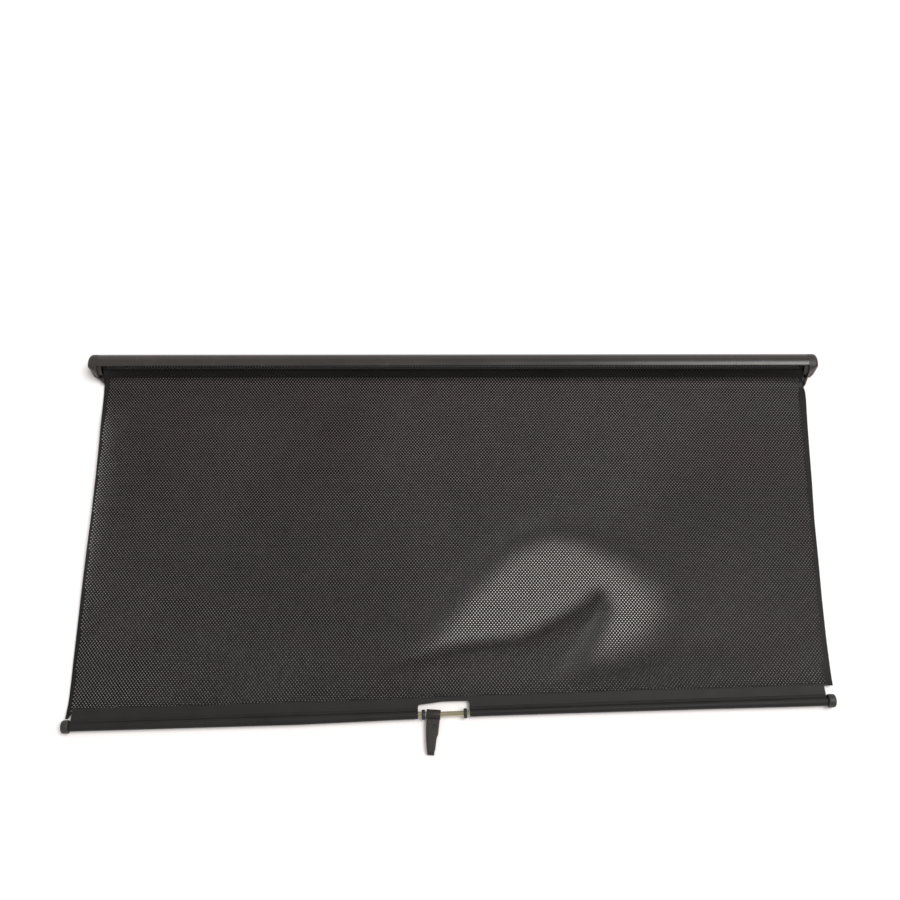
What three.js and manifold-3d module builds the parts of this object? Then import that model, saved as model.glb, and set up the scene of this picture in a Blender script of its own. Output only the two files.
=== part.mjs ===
// Spring roller sunshade for a car side window, drawn out and lying on its back.
// Millimetres. +X runs along the housing, +Y from the hem towards the housing, +Z up.
// The origin is on the flat underside of the housing, below the roller's axis.

import * as THREE from "three";
import { mergeVertices } from "three/addons/utils/BufferGeometryUtils.js";
import Module from "manifold-3d";

const wasm = await Module();
wasm.setup();

// Clearances
const seat = 0.3; // between pieces that touch or slide on the real object

// Housing and its two end caps
const overallLength = 500; // outer face to outer face of the end caps
const housingRadius = 8;
const housingWall = 1;
const rollerHeight = 7.6; // roller axis above the flat base
const upperLipAngle = 122; // edges of the slot, in degrees round the roller from +Y over the top
const lowerLipAngle = 214;
const capLength = 6.5; // part of a cap outside the housing
const capFillet = 3;
const spigotLength = 3;
const spigotWall = 0.9;
const bossRadius = 2.7;
const noseReach = 11.3; // film guide in front of each cap, measured from the roller's axis
const noseHeight = 4.5;
const noseTip = 2; // width of the guide's tip

// Roller, spindle and spring
const tubeRadius = 4;
const tubeWall = 0.7;
const flangeThickness = 1.3;
const plugLength = 9.6;
const spindleRadius = 1.4;
const spindleSquare = 2.2;
const spindleLength = 98;
const spindleProud = 1.6; // flattened end that stands out of the left cap
const idlerRadius = 1.2;
const idlerLength = 19;
const springWire = 0.7;
const springRadius = 2.35; // to the middle of the wire
const springTurns = 18;
const collarRadius = 2.8;
const collarLength = 4;
const collarMargin = 1; // spindle that stands out past the collar
const crossPinRadius = 0.5;

// Film
const filmThickness = 0.4;
const turnsThickness = 0.6; // turns left on the roller when the shade is drawn out
const leaveAngle = 155; // where the film leaves the roller, in degrees from +Y over the top
const landing = 15; // distance from the roller's axis where the film comes down to the surface
const filmInset = 11.6; // from a cap's outer face to the film's edge at the housing
const filmTaperLeft = 7.4; // by which the film's half width is less at the hem
const filmTaperRight = 6.1;
const settling = 26; // distance past the landing over which the film's waves begin
const lift = 1.7; // usual height of the film over the surface
const touchHeight = 0.55; // where it lies on the surface
const touchPlace = new THREE.Vector2(52, -158); // middle of the patch that lies on the surface
const touchSize = new THREE.Vector2(88, 46);
const gapColumns = 12; // perforations, as a coarse pattern of 120 holes
const gapRows = 10;
const gapRadius = 2.6;
const gapMargin = 22; // from the film's edges to the first row and column

// Hem band, with the pull rod in its pocket
const hemDistance = 237.1; // from the roller's axis to the middle of the rod
const hemShift = 0.6; // middle of the rod along X
const hemSkew = 2.29; // degrees: the film is longer at the left end
const bandInset = 3.85; // by which the band is shorter than the film's lower edge, at each end
const bandDepth = 10.6; // from the rod's axis to the band's upper edge
const bandThickness = 1.1;
const pocketWall = 0.55;
const lipDepth = 1.7; // the band's two layers open here to take the film
const lipThickness = 2;
const bandDroop = 8; // degrees by which the band slopes down from the rod to the film
const notchLeft = -17.9; // finger notch, from the middle of the band
const notchRight = 13.3;
const notchDepth = 8; // above the rod's axis
const notchCorner = 1.5;
const rodRadius = 1.5;
const knobRadius = 4;
const knobLength = 4.6;
const knobFillet = 1.4;
const knobEnd = 1.2; // closed end of a knob
const ringRadius = 3;
const ringThickness = 1.8;
const ringLeft = -13.6;
const ringRight = 10.9;

// Pull tab
const barrelRadius = 2.9;
const barrelLength = 8.3;
const tongueRise = 0.5; // top of the tongue over the rod's axis
const tongueFall = 0.6; // by which its top is lower at the tip
const tongueInset = 0.2; // by which its edges lie inside the barrel's ends
const barrelBore = 2; // loose on the rod, so that the tab leans
const tabLean = 5.5; // degrees
const tongueLength = 24.5;
const tongueThickness = 2;
const shoulderAt = 12; // step in the tongue's right edge
const shoulderWidth = 3.6; // half width of the tongue at the step
const shoulderStep = 0.6;
const neckAt = 3; // where the tongue begins to taper
const tipHalf = 2.05;
const hookThickness = 1.8;
const dimpleRadius = 1.2;
const dimpleDepth = 0.5;
const dimplePlace = new THREE.Vector2(1, -7.1);

// Values that follow from these
const half = overallLength / 2;
const capFace = half - capLength; // inner face of a cap
const housingHalf = capFace - seat;
const boreRadius = housingRadius - housingWall;
const bossEnd = capFace - spigotLength;
const flangeOuter = bossEnd - seat;
const tubeHalf = flangeOuter - flangeThickness - seat;
const plugEnd = flangeOuter - plugLength - flangeThickness;
const plugRadius = tubeRadius - tubeWall - seat;
const spindleEnd = spindleLength - half - spindleProud;
const collarStart = spindleEnd - collarMargin - collarLength;
const crossPinAt = collarStart + collarLength / 2;
const springStart = seat + springWire / 2 - plugEnd;
const springEnd = collarStart - seat - springWire / 2;
const turnsInner = tubeRadius + seat;
const turnsOuter = turnsInner + turnsThickness;
const filmTopHalf = half - filmInset;
const filmLowerLeft = filmTopHalf - filmTaperLeft;
const filmLowerRight = filmTopHalf - filmTaperRight;
const bandLength = filmLowerLeft + filmLowerRight - 2 * bandInset;
const rodHeight = knobRadius; // the knobs rest on the surface
const pocketBore = rodRadius + seat;
const pocketRadius = pocketBore + pocketWall;
const hookDrop = rodHeight; // the hook's end rests on the surface
const smooth = 32; // sides of a full circle on the larger round pieces
const fine = 16; // and on the small ones

const radians = THREE.MathUtils.degToRad;
const skew = radians(hemSkew);
const droop = radians(bandDroop);

// Finishes
const finish = (color, roughness, metalness) => new THREE.MeshStandardMaterial({ color, roughness, metalness });
const housingFinish = finish(0x4a4541, 0.38, 0.4);
const capFinish = finish(0x46413e, 0.55, 0);
const filmFinish = finish(0x302c2a, 0.6, 0);
const hemFinish = finish(0x3a3532, 0.62, 0);
const rodFinish = finish(0xa59c80, 0.3, 0.9);
const ringFinish = finish(0x151413, 0.7, 0);
const tabFinish = finish(0x45403d, 0.6, 0);
const tubeFinish = finish(0xb4b4b2, 0.4, 0.9);
const bushFinish = finish(0xd9d6cc, 0.5, 0);
const steelFinish = finish(0x8e8e8c, 0.35, 0.9);

// A geometry with its shared corners merged, as a solid whose faces point out
function solid(geometry) {
  const bare = new THREE.BufferGeometry();
  bare.setAttribute("position", geometry.getAttribute("position").clone());
  if (geometry.index) bare.setIndex(geometry.index.clone());
  const merged = mergeVertices(bare, 1e-4);
  const corners = merged.getAttribute("position").array;
  const faces = [];
  const index = merged.index.array;
  for (let i = 0; i < index.length; i += 3) {
    const [a, b, c] = [index[i], index[i + 1], index[i + 2]];
    if (a !== b && b !== c && c !== a) faces.push(a, b, c);
  }
  if (volumeOf(corners, faces) < 0) faces.reverse();
  return new wasm.Manifold(
    new wasm.Mesh({ numProp: 3, vertProperties: new Float32Array(corners), triVerts: new Uint32Array(faces) }),
  );
}

function volumeOf(corners, faces) {
  const point = (k) => new THREE.Vector3().fromArray(corners, 3 * k);
  let sum = 0;
  for (let i = 0; i < faces.length; i += 3) {
    sum += point(faces[i]).dot(point(faces[i + 1]).cross(point(faces[i + 2]))) / 6;
  }
  return sum;
}

function piece(name, body, material) {
  const made = body.getMesh();
  const geometry = new THREE.BufferGeometry();
  geometry.setAttribute("position", new THREE.BufferAttribute(new Float32Array(made.vertProperties), 3));
  geometry.setIndex(new THREE.BufferAttribute(new Uint32Array(made.triVerts), 1));
  geometry.computeVertexNormals();
  const mesh = new THREE.Mesh(geometry, material);
  mesh.name = name;
  return mesh;
}

// Points of an arc, with angles in degrees
function arc(x, y, radius, from, to, steps) {
  return Array.from({ length: steps + 1 }, (_, k) => {
    const angle = radians(from + ((to - from) * k) / steps);
    return new THREE.Vector2(x + radius * Math.cos(angle), y + radius * Math.sin(angle));
  });
}

const p = (x, y) => new THREE.Vector2(x, y);

// An outline in Y and Z, drawn out along X from one place to another
const alongX = new THREE.Matrix4().makeBasis(
  new THREE.Vector3(0, 1, 0),
  new THREE.Vector3(0, 0, 1),
  new THREE.Vector3(1, 0, 0),
);
function drawnAlongX(outline, from, to, hole) {
  const shape = new THREE.Shape(outline);
  if (hole) shape.holes.push(new THREE.Path(hole));
  const geometry = new THREE.ExtrudeGeometry(shape, { depth: to - from, bevelEnabled: false });
  return solid(geometry.applyMatrix4(alongX).translate(from, 0, 0));
}

// An outline in X and Y, drawn up along Z
function drawnUp(outline, from, to) {
  const shape = new THREE.Shape(outline);
  const geometry = new THREE.ExtrudeGeometry(shape, { depth: to - from, bevelEnabled: false });
  return solid(geometry.translate(0, 0, from));
}

// A profile of radius and place along X, turned round an axis parallel to X
function turned(profile, sides, height = 0) {
  const geometry = new THREE.LatheGeometry(profile, sides);
  return solid(geometry.rotateZ(-Math.PI / 2).rotateX(Math.PI / sides).translate(0, 0, height));
}

function rod(radius, from, to, sides, height = 0) {
  return turned([p(0, from), p(radius, from), p(radius, to), p(0, to)], sides, height);
}

function block(x0, x1, y0, y1, z0, z1) {
  const geometry = new THREE.BoxGeometry(x1 - x0, y1 - y0, z1 - z0);
  return solid(geometry.translate((x0 + x1) / 2, (y0 + y1) / 2, (z0 + z1) / 2));
}

// Housing: a rolled C section with a slot in front and a flat underneath
function housing() {
  const flatAngle = (radius, height) => THREE.MathUtils.radToDeg(Math.asin((rollerHeight - height) / radius));
  const outerFlat = flatAngle(housingRadius, 0);
  const innerFlat = flatAngle(boreRadius, housingWall);
  const round = 360 + upperLipAngle;
  const outline = [
    ...arc(0, rollerHeight, housingRadius, lowerLipAngle, 180 + outerFlat, 5),
    ...arc(0, rollerHeight, housingRadius, 360 - outerFlat, round, 26),
    ...lipEnd(upperLipAngle),
    ...arc(0, rollerHeight, boreRadius, round, 360 - innerFlat, 22),
    ...arc(0, rollerHeight, boreRadius, 180 + innerFlat, lowerLipAngle, 4),
  ];
  return drawnAlongX(outline, -housingHalf, housingHalf);
}

// Rounded edge of the housing's wall at the upper lip
function lipEnd(angle) {
  const middle = housingRadius - housingWall / 2;
  const x = middle * Math.cos(radians(angle));
  const y = rollerHeight + middle * Math.sin(radians(angle));
  return arc(x, y, housingWall / 2, angle, angle + 180, 4).slice(1, -1);
}

// End cap: a round-edged disc with a spigot in the housing, a boss and a film guide.
// side is -1 for the left cap and 1 for the right one.
function endCap(side) {
  const outward = (profile) => profile.map((at) => p(at.x, side * at.y));
  const disc = turned(
    outward([p(0, capFace), p(housingRadius, capFace), ...arc(housingRadius - capFillet, half - capFillet,
      capFillet, 0, 90, 5), p(0, half)]),
    smooth,
    rollerHeight,
  );
  const spigotOuter = boreRadius - seat;
  const inside = capFace + housingWall; // lets the spigot and boss run into the disc
  const spigot = turned(
    outward([p(spigotOuter - spigotWall, bossEnd), p(spigotOuter, bossEnd), p(spigotOuter, inside),
      p(spigotOuter - spigotWall, inside), p(spigotOuter - spigotWall, bossEnd)]),
    smooth,
    rollerHeight,
  );
  const boss = turned(
    outward([p(0, bossEnd), p(bossRadius, bossEnd), p(bossRadius, inside), p(0, inside)]),
    fine,
    rollerHeight,
  );
  const fitted = spigot.subtract(under(housingWall + seat));
  return disc.add(fitted).add(boss).add(filmGuide(side)).subtract(under(0)).subtract(capBore(side));
}

// Everything below a height
function under(height) {
  return block(-overallLength, overallLength, -overallLength, overallLength, height - overallLength, height);
}

// Film guide: a low arm in front of the cap that keeps the film's edge on its way out
function filmGuide(side) {
  const front = -housingRadius - seat;
  const inner = filmTopHalf + noseTip / 2;
  const outline = [
    p(half - capFillet / 3, -housingRadius / 2),
    p(inner + noseTip, -noseReach),
    p(inner, -noseReach),
    p(inner, front),
    p(capFace, front),
    p(capFace, -housingRadius / 2),
  ];
  return drawnUp(outline.map((at) => p(side * at.x, at.y)), 0, noseHeight);
}

// The left cap holds the spindle's square end, the right cap the idler pin
function capBore(side) {
  if (side > 0) return rod(idlerRadius + seat, bossEnd - 1, half - 1 - seat, fine, rollerHeight);
  const reach = spindleSquare / 2 + seat;
  return block(-half - 1, 1 - bossEnd, -reach, reach, rollerHeight - reach, rollerHeight + reach);
}

// Spindle: round, with a square end that the left cap keeps from turning
function spindle() {
  const across = spindleSquare / 2;
  const square = block(
    -half - spindleProud, 0.5 - capFace, -across, across, rollerHeight - across, rollerHeight + across,
  );
  const round = rod(spindleRadius, -capFace, spindleEnd, fine, rollerHeight);
  return square.add(round).subtract(crossHole());
}

function crossHole() {
  const radius = crossPinRadius + seat;
  const hole = new THREE.CylinderGeometry(radius, radius, 3 * collarRadius, 8);
  return solid(hole.rotateX(Math.PI / 2).translate(crossPinAt, 0, rollerHeight));
}

function crossPin() {
  const pin = new THREE.CylinderGeometry(crossPinRadius, crossPinRadius, 2 * collarRadius, 8);
  return solid(pin.rotateX(Math.PI / 2).translate(crossPinAt, 0, rollerHeight));
}

function collar() {
  const bore = spindleRadius + seat;
  const end = collarStart + collarLength;
  const ring = turned(
    [p(bore, collarStart), p(collarRadius, collarStart), p(collarRadius, end), p(bore, end), p(bore, collarStart)],
    fine,
    rollerHeight,
  );
  return ring.subtract(crossHole());
}

// Bush in one end of the roller tube, with a flange against the cap's boss
function bush(side, bore) {
  const flange = tubeRadius - 0.1;
  const inner = flangeOuter - flangeThickness;
  const profile = [
    p(bore, flangeOuter), p(flange, flangeOuter), p(flange, inner), p(plugRadius, inner),
    p(plugRadius, plugEnd), p(bore, plugEnd), p(bore, flangeOuter),
  ];
  return turned(profile.map((at) => p(at.x, side * at.y)), 24, rollerHeight);
}

function rollerTube() {
  const inner = tubeRadius - tubeWall;
  return turned(
    [p(inner, -tubeHalf), p(tubeRadius, -tubeHalf), p(tubeRadius, tubeHalf), p(inner, tubeHalf), p(inner, -tubeHalf)],
    24,
    rollerHeight,
  );
}

// Turns of film left on the roller: a spiral that ends where the free film leaves
function filmTurns() {
  const steps = 30;
  const outline = Array.from({ length: steps + 1 }, (_, k) => {
    const angle = radians(leaveAngle + (360 * k) / steps);
    const radius = turnsOuter - filmThickness * (1 - k / steps);
    return p(radius * Math.cos(angle), rollerHeight + radius * Math.sin(angle));
  });
  const hole = arc(0, rollerHeight, turnsInner, 0, 360, 24).slice(0, -1);
  return drawnAlongX(outline, -filmTopHalf, filmTopHalf, hole);
}

// Torsion spring between the left bush and the collar on the spindle
class Helix extends THREE.Curve {
  getPoint(t, target = new THREE.Vector3()) {
    const angle = 2 * Math.PI * springTurns * t;
    return target.set(
      THREE.MathUtils.lerp(springStart, springEnd, t),
      springRadius * Math.cos(angle),
      rollerHeight + springRadius * Math.sin(angle),
    );
  }
}
function torsionSpring() {
  const section = new THREE.Shape(arc(0, 0, springWire / 2, 0, 360, 5).slice(0, -1));
  const geometry = new THREE.ExtrudeGeometry(section, {
    steps: springTurns * 10,
    extrudePath: new Helix(),
    bevelEnabled: false,
  });
  return solid(geometry);
}

// Free film. Its lower edge lies in the hem band's groove, which is skewed to the roller.
const filmEnd = bandDepth - lipDepth + seat; // from the rod's axis, along the band
const hemLine = (x, distance) => -hemDistance + Math.tan(skew) * (x - hemShift) + distance / Math.cos(skew);

const ease = (from, to, value) => THREE.MathUtils.smoothstep(value, from, to);

// Height of the film's middle over the surface, away from the roller
function drape(x, y) {
  const away = ease(landing, landing + settling, -y);
  const reach = Math.hypot((x - touchPlace.x) / touchSize.x, (y - touchPlace.y) / touchSize.y);
  const touching = 1 - ease(0.55, 1.25, reach);
  const wave = 0.5 * Math.sin(x / 47 + 0.8) + 0.4 * Math.sin(x / 83 - y / 60);
  const free = lift + away * wave;
  const lying = free + (touchHeight - free) * touching * away;
  const fromRod = (y - hemLine(x, 0)) * Math.cos(skew);
  const slope = rodHeight - fromRod * Math.tan(droop);
  const blend = 0.6; // height over which the film rises into the band's slope
  const step = THREE.MathUtils.clamp((slope - lying) / (2 * blend) + 0.5, 0, 1);
  return lying + (slope - lying) * step + blend * step * (1 - step);
}

// Where the film leaves the roller and comes down to the surface, as a curve in Y and Z
function comingDown() {
  const radius = turnsOuter + seat + filmThickness / 2;
  const angle = radians(leaveAngle);
  const start = p(radius * Math.cos(angle), rollerHeight + radius * Math.sin(angle));
  const reach = 5.5;
  return new THREE.CubicBezierCurve(
    start,
    p(start.x - reach * Math.sin(angle), start.y + reach * Math.cos(angle)),
    p(-landing + reach, lift),
    p(-landing, lift),
  );
}

// A point of the film's middle surface: across from 0 to 1, and its row
const descentRows = 6;
const filmColumns = 24;
const filmRows = 20;
function filmPoint(across, row) {
  const left = 1 - Math.max(0, row - descentRows) / (filmRows - descentRows);
  const down = 1 - left ** 1.6; // rows lie closer together towards the hem
  const spread = (lower) => filmTopHalf + (lower - filmTopHalf) * down;
  const x = THREE.MathUtils.lerp(-spread(filmLowerLeft), spread(filmLowerRight), across);
  if (row < descentRows) {
    const at = comingDown().getPoint(row / descentRows);
    return new THREE.Vector3(x, at.x, at.y);
  }
  const y = THREE.MathUtils.lerp(-landing, hemLine(x, filmEnd * Math.cos(droop)), down);
  return new THREE.Vector3(x, y, drape(x, y));
}

function shadeFilm() {
  const corners = [];
  for (const side of [1, -1]) {
    for (let row = 0; row <= filmRows; row += 1) {
      for (let column = 0; column <= filmColumns; column += 1) {
        const across = column / filmColumns;
        const before = filmPoint(across, Math.max(row - 0.5, 0));
        const after = filmPoint(across, Math.min(row + 0.5, filmRows));
        const along = after.sub(before).normalize();
        const out = new THREE.Vector3(1, 0, 0).cross(along).normalize();
        const at = filmPoint(across, row).addScaledVector(out, (-side * filmThickness) / 2);
        corners.push(at.x, at.y, at.z);
      }
    }
  }
  const wide = filmColumns + 1;
  const layer = wide * (filmRows + 1);
  const faces = [];
  const quad = (a, b, c, d) => faces.push(a, b, c, a, c, d);
  for (let row = 0; row < filmRows; row += 1) {
    for (let column = 0; column < filmColumns; column += 1) {
      const a = row * wide + column;
      quad(a, a + wide, a + wide + 1, a + 1);
      quad(layer + a, layer + a + 1, layer + a + wide + 1, layer + a + wide);
    }
    const left = row * wide;
    const right = left + filmColumns;
    quad(left, layer + left, layer + left + wide, left + wide);
    quad(right, right + wide, layer + right + wide, layer + right);
  }
  for (let column = 0; column < filmColumns; column += 1) {
    const last = filmRows * wide + column;
    quad(column, column + 1, layer + column + 1, layer + column);
    quad(last, layer + last, layer + last + 1, last + 1);
  }
  const geometry = new THREE.BufferGeometry();
  geometry.setAttribute("position", new THREE.Float32BufferAttribute(corners, 3));
  geometry.setIndex(faces);
  return solid(geometry).subtract(gapPattern());
}

// Perforations, as staggered rows of holes
function gapPattern() {
  const width = filmLowerLeft + filmLowerRight - 2 * gapMargin;
  const length = hemDistance - landing - bandDepth - 2 * gapMargin;
  const holes = [];
  for (let row = 0; row < gapRows; row += 1) {
    for (let column = 0; column < gapColumns; column += 1) {
      const shift = row % 2 === 0 ? 0.25 : 0.75;
      const x = -filmLowerLeft + gapMargin + (width * (column + shift)) / gapColumns;
      const y = -landing - gapMargin - (length * (row + 0.5)) / gapRows;
      holes.push(drawnUp(arc(x, y, gapRadius, 0, 360, 6).slice(0, -1), -housingRadius, housingRadius));
    }
  }
  return wasm.Manifold.union(holes);
}

// Hem band: a strip folded round the rod, open at its upper edge for the film
function hemBand() {
  const plate = bandThickness / 2;
  const lip = lipThickness / 2;
  const groove = filmThickness / 2 + seat;
  const lipStart = bandDepth - lipDepth;
  const join = THREE.MathUtils.radToDeg(Math.asin(plate / pocketRadius));
  const tilt = (at) => at.clone().rotateAround(p(0, 0), -droop);
  const outline = [
    ...arc(0, 0, pocketRadius, join, 360 - join, 20),
    p(lipStart - lip, -plate), p(lipStart, -lip), p(bandDepth, -lip), p(bandDepth, -groove),
    p(lipStart, -groove), p(lipStart, groove),
    p(bandDepth, groove), p(bandDepth, lip), p(lipStart, lip), p(lipStart - lip, plate),
  ];
  const pocket = arc(0, 0, pocketBore, 0, 360, fine).slice(0, -1);
  const strip = drawnAlongX(outline.map(tilt), -bandLength / 2, bandLength / 2, pocket);
  const notch = [
    p(notchLeft, -2 * pocketRadius), p(notchRight, -2 * pocketRadius),
    ...arc(notchRight - notchCorner, notchDepth - notchCorner, notchCorner, 0, 90, 3),
    ...arc(notchLeft + notchCorner, notchDepth - notchCorner, notchCorner, 90, 180, 3),
  ];
  return strip.subtract(drawnUp(notch, -pocketRadius * 2, pocketRadius * 2));
}

const knobInner = bandLength / 2 + seat;
const rodHalf = knobInner + knobLength - knobEnd - seat;

function knob(side) {
  const outer = knobInner + knobLength;
  const socket = rodRadius + seat;
  const profile = [
    p(0, outer - knobEnd), p(socket, outer - knobEnd), p(socket, knobInner),
    ...arc(knobRadius - knobFillet / 2, knobInner + knobFillet / 2, knobFillet / 2, -90, 0, 2),
    ...arc(knobRadius - knobFillet, outer - knobFillet, knobFillet, 0, 90, 4), p(0, outer),
  ];
  return turned(profile.map((at) => p(at.x, side * at.y)), 24);
}

function stopRing(place) {
  const middle = (ringRadius + rodRadius + seat) / 2;
  const reach = ringRadius - middle;
  const section = arc(middle, place, reach, 0, 360, 8).map((at) => {
    const along = THREE.MathUtils.clamp((at.y - place) * 2, -ringThickness / 2, ringThickness / 2);
    return p(at.x, place + along);
  });
  section[section.length - 1].copy(section[0]);
  return turned(section, 20);
}

// Pull tab: a barrel on the rod and a tapered tongue that ends in a hook
function pullTab() {
  const top = tongueRise;
  const low = top - tongueFall;
  const end = -tongueLength;
  const bend = hookThickness;
  const side = [
    p(-1, top), p(end + bend, low), ...arc(end + bend, low - bend, bend, 90, 180, 4),
    p(end, -hookDrop), p(end + bend, -hookDrop), p(end + bend, low - tongueThickness), p(-1, top - tongueThickness),
  ];
  const wide = barrelLength / 2;
  const tongue = drawnAlongX(side, -wide, wide);
  const edge = wide - tongueInset;
  const waist = shoulderWidth - shoulderStep;
  const outline = [
    p(-edge, 0), p(-edge, -neckAt), p(-shoulderWidth, -shoulderAt), p(-tipHalf, end), p(tipHalf, end),
    p(waist, -shoulderAt - 2 * shoulderStep), p(shoulderWidth, -shoulderAt), p(edge, -neckAt), p(edge, 0),
  ];
  const barrel = rod(barrelRadius, -wide, wide, 24);
  const dimple = new THREE.CylinderGeometry(dimpleRadius, dimpleRadius, 2 * dimpleDepth, 12).rotateX(Math.PI / 2);
  return tongue
    .intersect(drawnUp(outline, -2 * hookDrop, 2 * hookDrop))
    .add(barrel)
    .subtract(rod(barrelBore, -barrelLength, barrelLength, fine))
    .subtract(solid(dimple.translate(dimplePlace.x, dimplePlace.y, top - 0.2)));
}

// Assembly
const part = new THREE.Group();

const cassette = new THREE.Group();
cassette.add(
  piece("cassette_housing", housing(), housingFinish),
  piece("end_cap_left", endCap(-1), capFinish),
  piece("end_cap_right", endCap(1), capFinish),
  piece("spring_spindle", spindle(), steelFinish),
  piece("spindle_collar", collar(), bushFinish),
  piece("collar_pin", crossPin(), steelFinish),
  piece("torsion_spring", torsionSpring(), steelFinish),
  piece("idler_pin", rod(idlerRadius, half - 1 - 2 * seat - idlerLength, half - 1 - 2 * seat, fine, rollerHeight),
    steelFinish),
  piece("shade_film", shadeFilm(), filmFinish),
);

const roller = new THREE.Group();
roller.add(
  piece("roller_tube", rollerTube(), tubeFinish),
  piece("roller_bush_left", bush(-1, spindleRadius + seat), bushFinish),
  piece("roller_bush_right", bush(1, idlerRadius + seat), bushFinish),
  piece("film_on_roller", filmTurns(), filmFinish),
);

const pullBar = new THREE.Group();
pullBar.position.set(hemShift, -hemDistance, rodHeight);
pullBar.rotation.z = skew;
pullBar.add(
  piece("hem_band", hemBand(), hemFinish),
  piece("pull_rod", rod(rodRadius, -rodHalf, rodHalf, fine), rodFinish),
  piece("rod_knob_left", knob(-1), capFinish),
  piece("rod_knob_right", knob(1), capFinish),
  piece("stop_ring_left", stopRing(ringLeft), ringFinish),
  piece("stop_ring_right", stopRing(ringRight), ringFinish),
);

// The leaning barrel stays clear of the left stop ring
const lean = radians(tabLean);
const barrelReach = (barrelLength / 2) * Math.cos(lean) + barrelRadius * Math.sin(lean);
const tab = new THREE.Group();
tab.position.x = ringLeft + ringThickness / 2 + seat + barrelReach;
tab.rotation.z = -lean;
tab.add(piece("pull_tab", pullTab(), tabFinish));
pullBar.add(tab);

part.add(cassette, roller, pullBar);

export default part;
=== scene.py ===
import math
import bmesh
import bpy
import numpy as np
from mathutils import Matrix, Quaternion, Vector


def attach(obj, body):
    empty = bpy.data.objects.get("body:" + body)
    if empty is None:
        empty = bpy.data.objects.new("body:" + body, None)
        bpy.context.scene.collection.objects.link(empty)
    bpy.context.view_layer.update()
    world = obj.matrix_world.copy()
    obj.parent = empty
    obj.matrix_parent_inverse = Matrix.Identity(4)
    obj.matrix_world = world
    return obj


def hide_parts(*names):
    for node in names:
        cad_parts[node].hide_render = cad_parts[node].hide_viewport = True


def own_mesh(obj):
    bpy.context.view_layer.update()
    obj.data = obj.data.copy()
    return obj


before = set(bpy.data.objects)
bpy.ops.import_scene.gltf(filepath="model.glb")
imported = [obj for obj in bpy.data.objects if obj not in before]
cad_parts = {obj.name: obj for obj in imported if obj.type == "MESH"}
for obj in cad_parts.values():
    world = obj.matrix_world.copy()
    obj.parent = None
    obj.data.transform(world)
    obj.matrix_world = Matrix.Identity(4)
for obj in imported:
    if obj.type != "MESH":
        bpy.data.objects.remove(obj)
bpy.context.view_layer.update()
mm = 0.001

# Places that several pieces share, in millimetres and degrees
place = {
    "rollerHeight": 7.6,
    "landing": 15.0,         # where the film comes down to the surface
    "filmTopHalf": 240.1,
    "lift": 1.7,
    "hemDistance": 237.1,    # from the roller's axis to the rod
    "hemShift": 0.6,
    "hemSkew": 2.29,
    "rodHeight": 4.0,
    "bandHalf": 227.8,
    "bandDroop": 8.0,
}
skew = math.radians(place["hemSkew"])
droop = math.radians(place["bandDroop"])


def smoothStep(low, high, value):
    t = np.clip((value - low) / (high - low), 0.0, 1.0)
    return t * t * (3.0 - 2.0 * t)


def arcPoints(cx, cy, radius, start, end, steps):
    angles = np.radians(np.linspace(start, end, steps + 1))
    return [(cx + radius * math.cos(a), cy + radius * math.sin(a)) for a in angles]


def added(name, data):
    piece = bpy.data.objects.new(name, data)
    bpy.context.collection.objects.link(piece)
    return piece


def smoothed(mesh, sharp):
    mesh.shade_smooth()
    mesh.set_sharp_from_angle(angle=math.radians(sharp))


# A sine or cosine whose circle has flatter sides
def squared(value, power):
    return math.copysign(abs(value) ** power, value)


def meshPiece(name, points, faces, sharp=35.0):
    mesh = bpy.data.meshes.new(name)
    vertices = [tuple(float(c) * mm for c in p) for p in points]
    mesh.from_pydata(vertices, [], [tuple(f) for f in faces])
    bm = bmesh.new()
    bm.from_mesh(mesh)
    bmesh.ops.remove_doubles(bm, verts=bm.verts, dist=1e-7)
    bmesh.ops.dissolve_degenerate(bm, edges=bm.edges, dist=1e-8)
    bmesh.ops.recalc_face_normals(bm, faces=bm.faces)
    bm.to_mesh(mesh)
    bm.free()
    smoothed(mesh, sharp)
    return added(name, mesh)


def loftFaces(rings, count, closedEnds=True):
    faces = []
    for r in range(rings - 1):
        for k in range(count):
            a = r * count + k
            b = r * count + (k + 1) % count
            faces.append((a, b, b + count, a + count))
    if closedEnds:
        faces.append(tuple(range(count)))
        faces.append(tuple((rings - 1) * count + k for k in range(count)))
    return faces


# A profile of radius and place along X, turned round the X axis
def turnedAboutX(profile, sides, height=0.0):
    points = []
    for radius, x in profile:
        for k in range(sides):
            a = 2 * math.pi * k / sides
            points.append((x, radius * math.cos(a), height + radius * math.sin(a)))
    return points, loftFaces(len(profile), sides, closedEnds=False)


def joined(parts):
    points, faces = [], []
    for partPoints, partFaces in parts:
        start = len(points)
        points += list(partPoints)
        faces += [tuple(i + start for i in f) for f in partFaces]
    return points, faces


# Points measured from the middle of the rod, along and across the pull bar
def onBar(points):
    c, s = math.cos(skew), math.sin(skew)
    middleX, middleY, middleZ = place["hemShift"], -place["hemDistance"], place["rodHeight"]
    return [(middleX + x * c - y * s, middleY + x * s + y * c, middleZ + z) for x, y, z in points]


# The piece with its modifiers made part of its mesh
def applied(piece):
    graph = bpy.context.evaluated_depsgraph_get()
    mesh = bpy.data.meshes.new_from_object(piece.evaluated_get(graph))
    piece.modifiers.clear()
    old = piece.data
    piece.data = mesh
    bpy.data.meshes.remove(old)
    mesh.name = piece.name
    return piece


def cutWith(piece, cutter, operation="DIFFERENCE"):
    modifier = piece.modifiers.new("cut", "BOOLEAN")
    modifier.operation = operation
    modifier.object = cutter
    modifier.solver = "EXACT"
    applied(piece)
    bpy.data.objects.remove(cutter)
    return piece


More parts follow.
